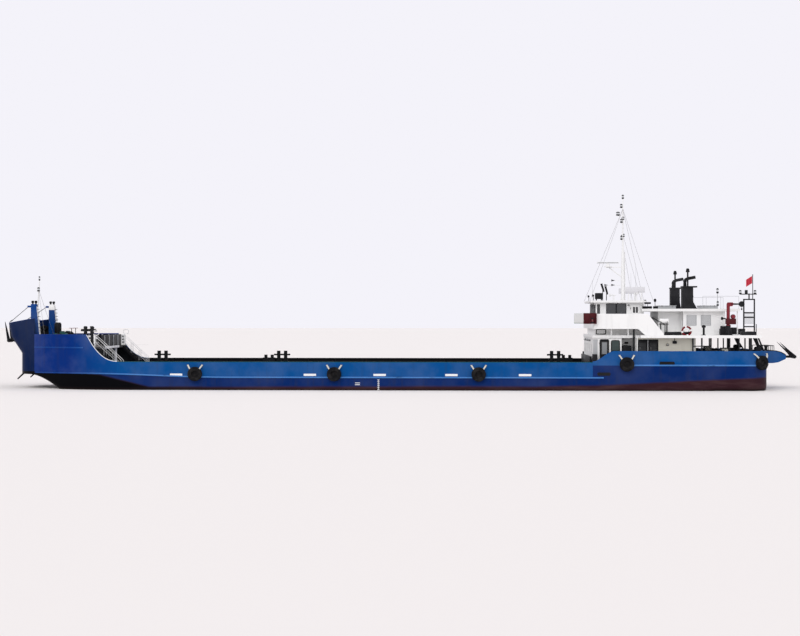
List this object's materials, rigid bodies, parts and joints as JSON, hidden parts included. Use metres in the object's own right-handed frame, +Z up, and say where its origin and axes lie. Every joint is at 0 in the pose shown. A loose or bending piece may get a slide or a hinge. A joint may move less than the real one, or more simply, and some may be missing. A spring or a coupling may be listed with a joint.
{
  "type": "river deck barge, 1:2 scale model",
  "caption": "Self-propelled flat-bottomed river cargo barge with an open deck, swim bow, aft deckhouse, wheelhouse, funnels, rudders and propellers, at half size.",
  "frame": {"origin": "bottom centre of the bounding box, on the flat bottom", "axes": "+X towards the bow, +Y to port, +Z up"},
  "size_m": [34.5459, 6.85, 9.18],
  "materials": {
    "hull_blue": "weathered gloss paint",
    "hull_lower": "dark blue over red-brown boot-top, stained",
    "belting": "worn light blue paint, with black tyres",
    "white": "semi-gloss paint",
    "black": "matt paint",
    "deck": "worn deck paint",
    "red": "gloss paint",
    "green": "gloss paint",
    "flag_cloth": "plain weave",
    "bronze": "cast bronze"
  },
  "bodies": {
    "ship": {"hull_bow": "hull_lower", "hull_midbody": "hull_lower", "hull_stern": "hull_lower", "cargo_deck": "deck", "bulwark_port": "hull_blue", "bulwark_starboard": "hull_blue", "bow_shell_port": "hull_blue", "bow_shell_starboard": "hull_blue", "bow_front": "hull_blue", "forecastle_deck": "deck", "stair_port": "white", "stair_starboard": "white", "bow_post_port": "hull_blue", "bow_post_starboard": "hull_blue", "bow_light_mast": "white", "windlass_frame": "black", "anchor_bow": "black", "anchor_stern": "black", "strake_port": "belting", "strake_starboard": "belting", "poop_strake_port": "belting", "poop_strake_starboard": "belting", "poop_bulwark_port": "hull_blue", "poop_bulwark_starboard": "hull_blue", "stern_platform": "hull_blue", "deckhouse_front": "white", "deckhouse_side_port": "white", "deckhouse_side_starboard": "white", "deckhouse_aft": "white", "boat_deck": "white", "bridge_deck": "white", "bridge_bulwark_port": "white", "bridge_bulwark_starboard": "white", "sidelight_port": "red", "sidelight_starboard": "green", "wheelhouse_front": "white", "wheelhouse_side_port": "white", "wheelhouse_side_starboard": "white", "wheelhouse_aft": "white", "wheelhouse_roof": "white", "engine_casing": "white", "funnel_port": "black", "funnel_starboard": "black", "main_mast": "white", "davit_post": "black", "stern_tower": "black", "flag": "flag_cloth"},
    "windlass_drum": {"windlass_drum": "black"},
    "radar_scanner": {"radar_scanner": "white"},
    "davit_column": {"davit_column": "red"},
    "davit_boom": {"davit_boom": "black"},
    "wheelhouse_door_port": {"wheelhouse_door_port": "white"},
    "wheelhouse_door_starboard": {"wheelhouse_door_starboard": "white"},
    "deckhouse_door_port": {"deckhouse_door_port": "white"},
    "deckhouse_door_starboard": {"deckhouse_door_starboard": "white"},
    "rudder_port": {"rudder_port": "hull_lower"},
    "rudder_starboard": {"rudder_starboard": "hull_lower"},
    "propeller_port": {"propeller_port": "bronze"},
    "propeller_starboard": {"propeller_starboard": "bronze"}
  },
  "joints": [
    {"name": "propeller_port_spin", "type": "hinge", "parent": "ship", "child": "propeller_port", "pos_m": [-13.6, 1.35, 0.375], "axis": [1, 0, 0], "continuous": true},
    {"name": "propeller_starboard_spin", "type": "hinge", "parent": "ship", "child": "propeller_starboard", "pos_m": [-13.6, -1.35, 0.375], "axis": [1, 0, 0], "continuous": true},
    {"name": "rudder_port_turn", "type": "hinge", "parent": "ship", "child": "rudder_port", "pos_m": [-14.3, 1.35, 0.7], "axis": [0, 0, 1], "range_deg": [-35, 35]},
    {"name": "rudder_starboard_turn", "type": "hinge", "parent": "ship", "child": "rudder_starboard", "pos_m": [-14.3, -1.35, 0.7], "axis": [0, 0, 1], "range_deg": [-35, 35]},
    {"name": "radar_spin", "type": "hinge", "parent": "ship", "child": "radar_scanner", "pos_m": [-9.2, 0, 6.15], "axis": [0, 0, 1], "continuous": true},
    {"name": "windlass_spin", "type": "hinge", "parent": "ship", "child": "windlass_drum", "pos_m": [14.475, 0, 3.075], "axis": [0, 1, 0], "continuous": true},
    {"name": "davit_slew", "type": "hinge", "parent": "ship", "child": "davit_column", "pos_m": [-13.95, 2.725, 3.5], "axis": [0, 0, 1], "range_deg": [-135, 15]},
    {"name": "davit_luff", "type": "hinge", "parent": "davit_column", "child": "davit_boom", "pos_m": [-14.09, 2.725, 4.4], "axis": [0, 1, 0], "range_deg": [0, 60]},
    {"name": "wheelhouse_door_port_swing", "type": "hinge", "parent": "ship", "child": "wheelhouse_door_port", "pos_m": [-10.025, 1.6678, 4], "axis": [0, 0, 1], "range_deg": [-100, 0]},
    {"name": "wheelhouse_door_starboard_swing", "type": "hinge", "parent": "ship", "child": "wheelhouse_door_starboard", "pos_m": [-10.025, -1.6678, 4], "axis": [0, 0, 1], "range_deg": [0, 100]},
    {"name": "deckhouse_door_port_swing", "type": "hinge", "parent": "ship", "child": "deckhouse_door_port", "pos_m": [-8.625, 2.6178, 2.4], "axis": [0, 0, 1], "range_deg": [-100, 0]},
    {"name": "deckhouse_door_starboard_swing", "type": "hinge", "parent": "ship", "child": "deckhouse_door_starboard", "pos_m": [-8.625, -2.6178, 2.4], "axis": [0, 0, 1], "range_deg": [0, 100]}
  ],
  "couplings": [
    {"joint": "rudder_starboard_turn", "follows": "rudder_port_turn", "ratio": 1}
  ]
}
